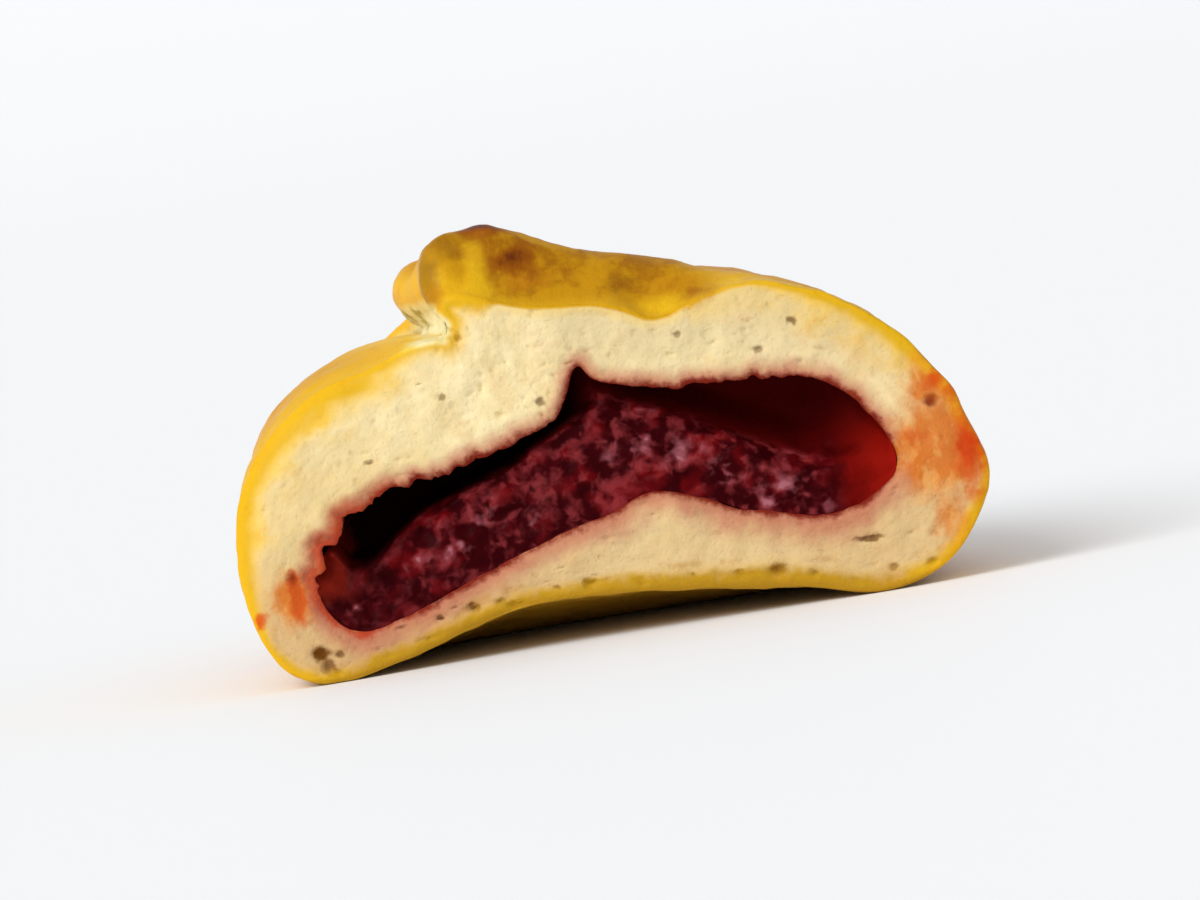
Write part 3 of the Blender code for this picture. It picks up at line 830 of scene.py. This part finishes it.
# juice that soaked through at both ends of the cut: place, radii in millimetres and strength
juice = {
    "soft": (((32.2, -36.9, 13.2), (7.2, 7.0, 9.6), 1.0), ((32.2, -36.9, 19.0), (3.8, 5.0, 5.0), 1.0),
             ((32.4, -36.9, 5.8), (3.4, 5.0, 6.0), 0.7), ((-31.8, -36.9, 8.4), (3.0, 5.0, 5.0), 0.8)),
    "hot": (((34.6, -36.9, 12.4), (3.0, 6.0, 7.4), 0.9), ((32.3, -36.9, 19.8), (2.0, 4.0, 2.6), 0.8),
            ((30.2, -36.9, 14.4), (2.4, 3.0, 2.2), 0.6), ((34.0, -36.9, 17.6), (2.6, 4.0, 1.6), 0.6)),
    "hotLeft": (((-30.9, -36.9, 8.8), (1.3, 3.0, 4.4), 1.5), ((-34.6, -36.0, 7.0), (1.5, 2.5, 1.6), 1.1)),
    "streak": (((34.4, -36.9, 12.4), (1.3, 4.0, 3.2), 1.0),),
    "specks": (((31.9, -36.9, 17.5), (1.3, 3.0, 0.95), 1.0), ((-31.1, -36.9, 10.7), (1.0, 3.0, 1.5), 0.8)),
}


def doughFinish():
    recipe = Recipe("bakedDough")
    cut, rind, wet, brown, seam, beside = recipe.marks("cut", "rind", "wet", "brown", "seam", "beside")
    x, y, z = (recipe.axis(label) for label in "XYZ")
    broad, medium, small = recipe.noise(9.0), recipe.noise(2.6, 4.0), recipe.noise(0.6, 4.0, 0.65)
    clouds = recipe.noise(12.0, 4.0, 0.55, recipe.bent(6.0, 5.0))
    mottles = recipe.noise(3.4, 4.0, 0.6, recipe.bent(2.0, 1.6))
    tones, pale = crustColours, crumbColours

    # the crust: gold with soft amber clouds, brighter by the cut and the seam, ochre on the lip
    behind = (y + broad * 6.0).ramp(-35.0, -20.0, 0.3, 1.0)
    away = (y + broad * 10.0).ramp(-30.0, 20.0)
    sides = (z + broad * 10.0).fall(3.0, 20.0)
    nearSeam = (seam + medium * 2.0).ramp(-7.5, -4.0) * (seam + broad * 8.0).fall(4.0, 16.0) * beside
    nearCut = (y + medium * 5.0).fall(-36.0, -28.0)
    lipTop = (seam + medium * 3.0).fall(-8.0, -4.0) * (seam + broad * 8.0).ramp(-38.0, -27.0) * beside
    fresh = (y + broad * 12.0).fall(-32.0, -20.0)
    low = (z + x * x * 0.0064 + medium * 2.0).fall(5.0, 8.0)
    crust = recipe.layers(
        tones["gold"],
        (clouds.ramp(-0.14, 0.22) * behind * 0.85, tones["amber"]),
        (mottles.ramp(-0.05, 0.25) * behind * 0.35, tones["amber"]),
        (away * (sides * 0.45 + 0.2), tones["amber"]),
        (nearSeam.most(nearCut) * 0.85 * mottles.ramp(0.05, 0.25, 1.0, 0.65), tones["bright"]),
        (lipTop * (y.ramp(-37.0, -35.2) * 0.5 + 0.45) * (fresh * 0.7 + 0.3),
         recipe.mix(mottles.ramp(-0.1, 0.16), tones["top"], tones["topShade"])),
        (low * 0.85, tones["base"]))
    crookedLip = recipe.bent(1.8, 1.8, 3.0)
    for left, back, up, wide, far, high, tint, strength in bun["lipMarks"]:
        place = (left + shift[0] / mm, back + shift[1] / mm, up)
        spot = recipe.patch(place, (wide, far, high), crookedLip) * 1.3 + small * 0.3 + mottles * 0.7
        crust = recipe.mix(spot.ramp(0.05, 1.2) * strength, crust, tones[tint])

    # browned places, and the unglazed band along the seam, with painted shade in the crease under the lip
    mottle = (brown + mottles * 0.7 + small * 0.2).clip()
    band = seam + broad * 15.0 + medium * 5.0 + mottles * 2.0
    onBand = (seam + medium * 2.0).ramp(-2.6, -0.8) * y.fall(27.0, 33.0) * beside
    unglazed = onBand * band.fall(0.6, 4.2)
    # the olive patches just under the lip's edge are a painted shade of its crease
    folds = (medium + mottles * 0.8).ramp(0.04, 0.18) * (seam + medium * 3.0).fall(1.2, 3.2)
    bare = recipe.layers(tones["bare"], (mottles.ramp(-0.1, 0.14) * 0.6, tones["bareShade"]),
                         (folds * 0.7, tones["fold"]))
    crust = recipe.layers(
        crust,
        (mottle.ramp(0.22, 0.75) * 0.92, tones["brown"]),
        (mottle.ramp(0.68, 1.0), tones["darkBrown"]),
        (onBand * band.fall(2.0, 8.0) * 0.75, tones["lemon"]),
        (onBand * band.fall(1.6, 5.6) * 0.8, tones["glazeEdge"]),
        (unglazed, bare))

    # the crumb: cream, greyer over the fold as painted shade, yellow by the crust, tan below and towards the
    # right (there partly painted shade), pink by the jam, painted shade in its holes
    over = (z + broad * 6.0).ramp(21.0, 28.0) * (x + broad * 6.0).ramp(-7.0, 1.0)
    leftSide = (x + broad * 9.0).fall(-25.0, -12.0)
    rightTop = x.ramp(13.0, 20.0) * z.ramp(17.0, 21.0)
    yellow = (rind + medium * 1.2).fall(0.8, 1.6) * (leftSide * 0.25 + 0.45)
    yellow += rind.fall(1.2, 3.2) * (leftSide * 0.35 + rightTop * 0.6) * mottles.ramp(-0.06, 0.12)
    yellow += (rind + medium * 2.0).fall(1.0, 3.0) * rightTop * 0.35
    overLip = (rind + medium * 1.6).fall(1.0, 3.6) * z.ramp(27.5, 29.5) * x.ramp(-9.0, -6.0) * 0.42
    lower = (z + x * 0.02).fall(8.0, 15.0)
    lowLeft = (z + x * 0.1).fall(4.0, 10.0) * x.fall(-20.0, 2.0)
    floorSide = (x + broad * 8.0).ramp(-10.0, 6.0, 0.55, 1.0) * z.fall(13.0, 16.0)
    pink = (wet * (1.0 - floorSide * 0.42) + medium * 2.0).fall(0.2, 2.3)
    farLeft = (x + medium * 3.0).fall(-26.5, -18.0)
    fringe = (wet + mottles * 2.6).fall(0.6, 2.4) * farLeft * (z + medium * 3.0).ramp(5.0, 8.5)
    soaked = (wet + small * 0.8 + medium * 1.8).fall(0.0, 0.8)
    crooked = recipe.bent(1.4, 1.1)
    pick = recipe.node("ShaderNodeSeparateColor", None, {0: recipe.cells(1.3, crooked, output=1)})
    holes = recipe.cells(1.3, crooked).fall(0.05, 0.42) * pick.ramp(0.62, 1.0)
    fineHoles = recipe.cells(0.55, crooked).fall(0.1, 0.5)
    crumb = recipe.layers(
        pale["cream"],
        (medium.ramp(-0.15, 0.2), pale["shade"]),
        # greyer over the fold: painted shade, darker than the lit upper left of the crumb
        (over * 0.9, pale["crest"]),
        (leftSide * z.fall(19.0, 26.0) * 0.8, pale["left"]),
        (yellow.most(overLip).clip(), pale["yellow"]),
        # tan below, and towards the right partly soaked tone and partly a painted shade of the light falling
        # off from the left
        ((lower * 0.7 + x.ramp(10.0, 34.0) * 0.45).least(0.85), pale["tan"]),
        (lowLeft * (medium * 0.4 + 0.82).least(0.9) * x.ramp(-32.0, -23.0, 0.35, 1.0), pale["lowLeft"]),
        (pink * 0.92, pale["pink"]),
        (fringe * 0.85, recipe.mix(mottles.ramp(-0.08, 0.1), pale["fringe"], pale["orange"])),
        (soaked, recipe.mix(farLeft, pale["red"], pale["orange"])),
        # painted shade in the crumb's holes
        ((holes * 0.2 + fineHoles * 0.05).clip(), pale["pit"]))
    thin = recipe.bent(1.4, 1.2)
    for left, up, wide, high, baked in bun["pores"]:
        pore = recipe.patch((left + shift[0] / mm, -37.0, up), (wide, 3.0, high), thin)
        pore = (pore * 1.5 + small * 0.5).ramp(0.12, 1.15) * (0.3 + 0.68 * baked)
        crumb = recipe.mix(pore, crumb, pale["pore"])
    inner = (rind - 1.15).size().fall(0.0, 0.45)
    crumb = recipe.mix(inner * z.fall(6.0, 8.5) * mottles.ramp(0.0, 0.14) * 0.5, crumb, pale["pit"])

    # the browned rind of the cut pales towards the crumb
    bakedEdge = (rind + medium * 0.8 + mottles * low * 1.4).fall(0.4, 1.15)
    showsCrumb = cut * (1.0 - bakedEdge)
    fades = cut * rind.ramp(0.1, 0.5) * (1.0 - low * 0.8) * (1.0 - lipTop)
    crust = recipe.mix(fades * 0.9, crust, recipe.mix(rind.ramp(0.6, 1.2), tones["rind"], pale["yellow"]))

    # juice that soaked through at both ends of the cut
    bled = recipe.bent(3.0, 3.4, 3.0)
    streaks = small * 0.5 + mottles * 1.8
    soft, hot = recipe.patches(juice["soft"], bled), recipe.patches(juice["hot"], bled)
    hot = hot.most(recipe.patches(juice["hotLeft"], thin))
    stain = (hot * 1.5 + streaks * 0.7).ramp(0.15, 1.3) * hot.ramp(0.0, 0.35)
    veins = recipe.noise(1.5, 3.0, 0.55, recipe.stretched(recipe.bent(2.6, 2.6), (1.0, 1.0, 0.42)))
    juicy = recipe.mix(veins.ramp(-0.18, 0.06), pale["peach"], pale["wash"])
    colour = recipe.layers(
        recipe.mix(showsCrumb, crust, crumb),
        ((soft * 1.7 + streaks * 0.9).ramp(0.0, 1.25) * 0.92, recipe.mix(showsCrumb, tones["wash"], juicy)),
        (stain * 0.95, recipe.mix(showsCrumb, tones["stain"], pale["stain"])),
        ((recipe.patches(juice["streak"], bled) * 1.3 + streaks * 0.6).ramp(0.2, 1.1) * 0.7, pale["streak"]),
        (recipe.patches(juice["specks"], thin).ramp(0.1, 0.9) * 0.85, pale["speck"]))

    roughness = (showsCrumb * 0.35 + 0.4 + small * 0.25 + mottles * 0.2 - stain * 0.15).clip()
    crumbHeight = showsCrumb * (small * 0.34 - holes * 0.35 - fineHoles * 0.1)
    wrinkles = recipe.noise(1.9, 4.0, 0.6, recipe.bent(1.5, 1.2))
    girth = recipe.noise(1.7, 3.0, 0.5, recipe.stretched(recipe.bent(7.0, 6.0), (0.28, 1.0, 0.28)))
    crustHeight = (1.0 - showsCrumb) * (wrinkles * 0.8 + small * 0.22 + girth * away * 0.7)
    shine = (1.0 - showsCrumb) * (1.0 - unglazed) * (away * 0.07 + 0.03)
    normal = recipe.bump(crumbHeight + crustHeight, 0.35, 0.8)
    return recipe.feed(Base_Color=colour, Roughness=roughness, Normal=normal, Coat_Weight=shine,
                       Coat_Roughness=0.28, Specular_IOR_Level=0.05, Subsurface_Weight=0.1,
                       Subsurface_Radius=(1.0, 0.6, 0.25), Subsurface_Scale=1.0 * mm)


def jamFinish():
    recipe, tones = Recipe("wetJam"), jamColours
    calm, lump, deep, fruit, under = recipe.marks("calm", "lump", "deep", "pulp", "under")
    x, z = recipe.axis("X"), recipe.axis("Z")
    medium, small = recipe.noise(2.0, 2.0, 0.5, recipe.bent(2.0, 1.6)), recipe.noise(0.5, 2.0)
    flecks = recipe.noise(1.4, 2.0, 0.5, recipe.bent(2.4, 2.2))
    lively = 1.0 - calm
    raised = (lump * 0.7 + medium * 1.2).clip()
    reds = recipe.noise(4.0, 2.0, place=recipe.bent(3.0, 3.0)).ramp(0.0, 0.16) * raised.ramp(0.5, 0.9, 1.0, 0.5)

    # fibres and lumps of fruit, darker towards the pocket's ends; painted highlights on the fruit, painted
    # shade in crevices, hollows and the left gap, and a painted glow at the right end
    fibre = recipe.noise(2.6, 1.0, 0.4, recipe.bent(3.2, 3.2, 1.0))
    strand = fibre.size().fall(0.0, 0.1)
    darkFibre = recipe.noise(3.0, 1.0, 0.4, recipe.bent(3.6, 3.4, 1.0))
    crack = (darkFibre + 0.03).size().fall(0.0, 0.09)
    tissue = ((flecks + medium * 0.6).ramp(-0.06, 0.24) * 0.6).most(strand * medium.ramp(-0.1, 0.12) * 0.3)
    pulp = (fruit * 0.9 + (raised - 0.5) * 0.6 + medium * 1.3 + flecks * 0.9).ramp(0.25, 1.25) * lively
    pulpColour = recipe.mix(x.ramp(-24.0, -8.0), tones["pulpLeft"], tones["pulp"])
    leftGap = deep.ramp(1.8, 4.5) * x.fall(-6.0, 3.0)
    shaded = (under + medium * 1.6).fall(-0.2, 2.4) * x.fall(-7.0, 0.0)
    rightEnd = (x + medium * 4.0).ramp(21.0, 27.5) * (z + medium * 5.0).fall(13.0, 19.0)
    leftEnd = (x + medium * 3.0).fall(-27.6, -24.2) * (z + medium * 4.0).ramp(6.5, 9.5)
    colour = recipe.layers(
        # lighter on the raised lumps and darker between them: partly tone that varies at random, partly painted
        # shade in the crevices
        recipe.mix(raised.ramp(0.1, 0.85), tones["dark"], tones["raised"]),
        (reds * lively * 0.5, tones["red"]),
        (crack * lively * 0.35, tones["crack"]),
        (tissue * x.ramp(-26.0, -10.0, 0.55, 1.0) * lively, tones["tissue"]),
        # pale fruit lumps: partly their own colour, partly painted highlights of the wet jam
        (pulp * (x.ramp(2.0, 14.0) * 0.18 + 0.78), pulpColour),
        # painted highlights on the tops of the fruit lumps
        (pulp.ramp(0.55, 1.0) * flecks.ramp(-0.02, 0.12) * 0.6, tones["core"]),
        (x.fall(-27.0, -17.0) * (1.0 - pulp) * 0.6, tones["lowEnd"]),
        # painted shade in the hollow of the right lobe and at the smooth right end
        (calm * 0.85, tones["calm"]),
        # painted shade where the jam lies deep behind the cut
        (deep.ramp(1.5, 5.0) * 0.7, tones["recess"]),
        (shaded * 0.85, tones["shade"]),
        # nearly black: painted shade in the gap under the left lobe's roof
        (leftGap * 0.97, tones["gap"]),
        # a painted glow of light shining through the jam at its right end
        (rightEnd * 0.85, tones["rightEnd"]),
        (leftEnd * 0.85, tones["leftEnd"]))
    roughness = (small * 0.2 + calm * 0.3 + 0.34).clip()
    normal = recipe.bump(medium * (1.0 - calm * 0.6) + small * 0.1, 0.45, 0.7)
    return recipe.feed(Base_Color=colour, Roughness=roughness, Normal=normal, Specular_IOR_Level=0.012,
                       Coat_Weight=lively * raised * 0.03, Coat_Roughness=0.36)


doughPiece.data.materials.append(doughFinish())
jamPiece.data.materials.append(jamFinish())
for piece, node, slot in ((doughPiece, "dough", "dough"), (jamPiece, "filling", "filling")):
    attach(piece, "root")
    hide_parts(node)
print("finishes: done")


# The table, the light and the camera
studio = {
    "tableSize": 12.0,
    "sweep": {"start": 2.0, "rise": 0.05, "strips": 60},
    "tableColour": hexColour("fafafb"),
    "sky": {"colour": (0.96, 0.985, 1.0), "strength": 0.62},
    "sun": {"from": (-0.8, -0.75, 0.85), "strength": 2.0, "angle": 38.0},
    "elevation": 5.0,
    "azimuth": 0.0,
    "roll": 9.5,
    "distance": 0.7,
    "frameWidth": 0.116,
    "sensor": 36.0,
    "cutFoot": (-1.577 * mm, -37.298 * mm, 0.0),
    "aim": (0.0, -0.03, 0.0175),
}


# the table sweeps up far behind the piece, so that no edge shows against the sky
def table():
    sweep = studio["sweep"]
    flat = bmesh.new()
    bmesh.ops.create_grid(flat, x_segments=1, y_segments=sweep["strips"], size=0.5 * studio["tableSize"])
    for corner in flat.verts:
        corner.co.z = sweep["rise"] * max(corner.co.y - sweep["start"], 0.0) ** 2
    top = finishedPiece("table", flat)
    colour = (*studio["tableColour"], 1.0)
    finish = Recipe("paleTable").feed(Base_Color=colour, Roughness=0.6, Specular_IOR_Level=0.2)
    top.data.materials.append(finish)
    top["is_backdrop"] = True


def softSun():
    light = bpy.data.lights.new("window", "SUN")
    light.energy, light.angle = studio["sun"]["strength"], math.radians(studio["sun"]["angle"])
    lamp = bpy.data.objects.new("window", light)
    bpy.context.scene.collection.objects.link(lamp)
    lamp.rotation_euler = (-Vector(studio["sun"]["from"])).to_track_quat("-Z", "Y").to_euler()


def skyLight():
    world = bpy.data.worlds.new("paleRoom")
    bpy.context.scene.world = world
    world.use_nodes = True
    glow = world.node_tree.nodes["Background"]
    glow.inputs["Color"].default_value = (*studio["sky"]["colour"], 1.0)
    glow.inputs["Strength"].default_value = studio["sky"]["strength"]


# the camera stands where the photograph was taken from, and looks at the middle of the piece
def photoCamera():
    camera = bpy.data.objects.new("camera", bpy.data.cameras.new("camera"))
    bpy.context.scene.collection.objects.link(camera)
    around, up = math.radians(studio["azimuth"]), math.radians(studio["elevation"])
    back = Vector((math.sin(around) * math.cos(up), -math.cos(around) * math.cos(up), math.sin(up)))
    camera.location = Vector(studio["cutFoot"]) + back * studio["distance"]
    view = Vector(studio["aim"]) - camera.location
    turn = view.to_track_quat("-Z", "Y").to_matrix().to_4x4()
    camera.rotation_euler = (turn @ Matrix.Rotation(math.radians(-studio["roll"]), 4, "Z")).to_euler()
    camera.data.sensor_width = studio["sensor"]
    camera.data.lens = studio["sensor"] * view.length / studio["frameWidth"]
    camera.data.clip_start = 0.01
    bpy.context.scene.camera = camera


table()
skyLight()
softSun()
photoCamera()
bpy.context.scene.view_settings.view_transform = "Standard"
print("studio: done")

low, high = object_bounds()
sides = [round((b - a) / mm, 1) for a, b in zip((*cadLow, *low), (*cadHigh, *high))]
print("sides in mm, the solids' and the dressed part's:", sides)
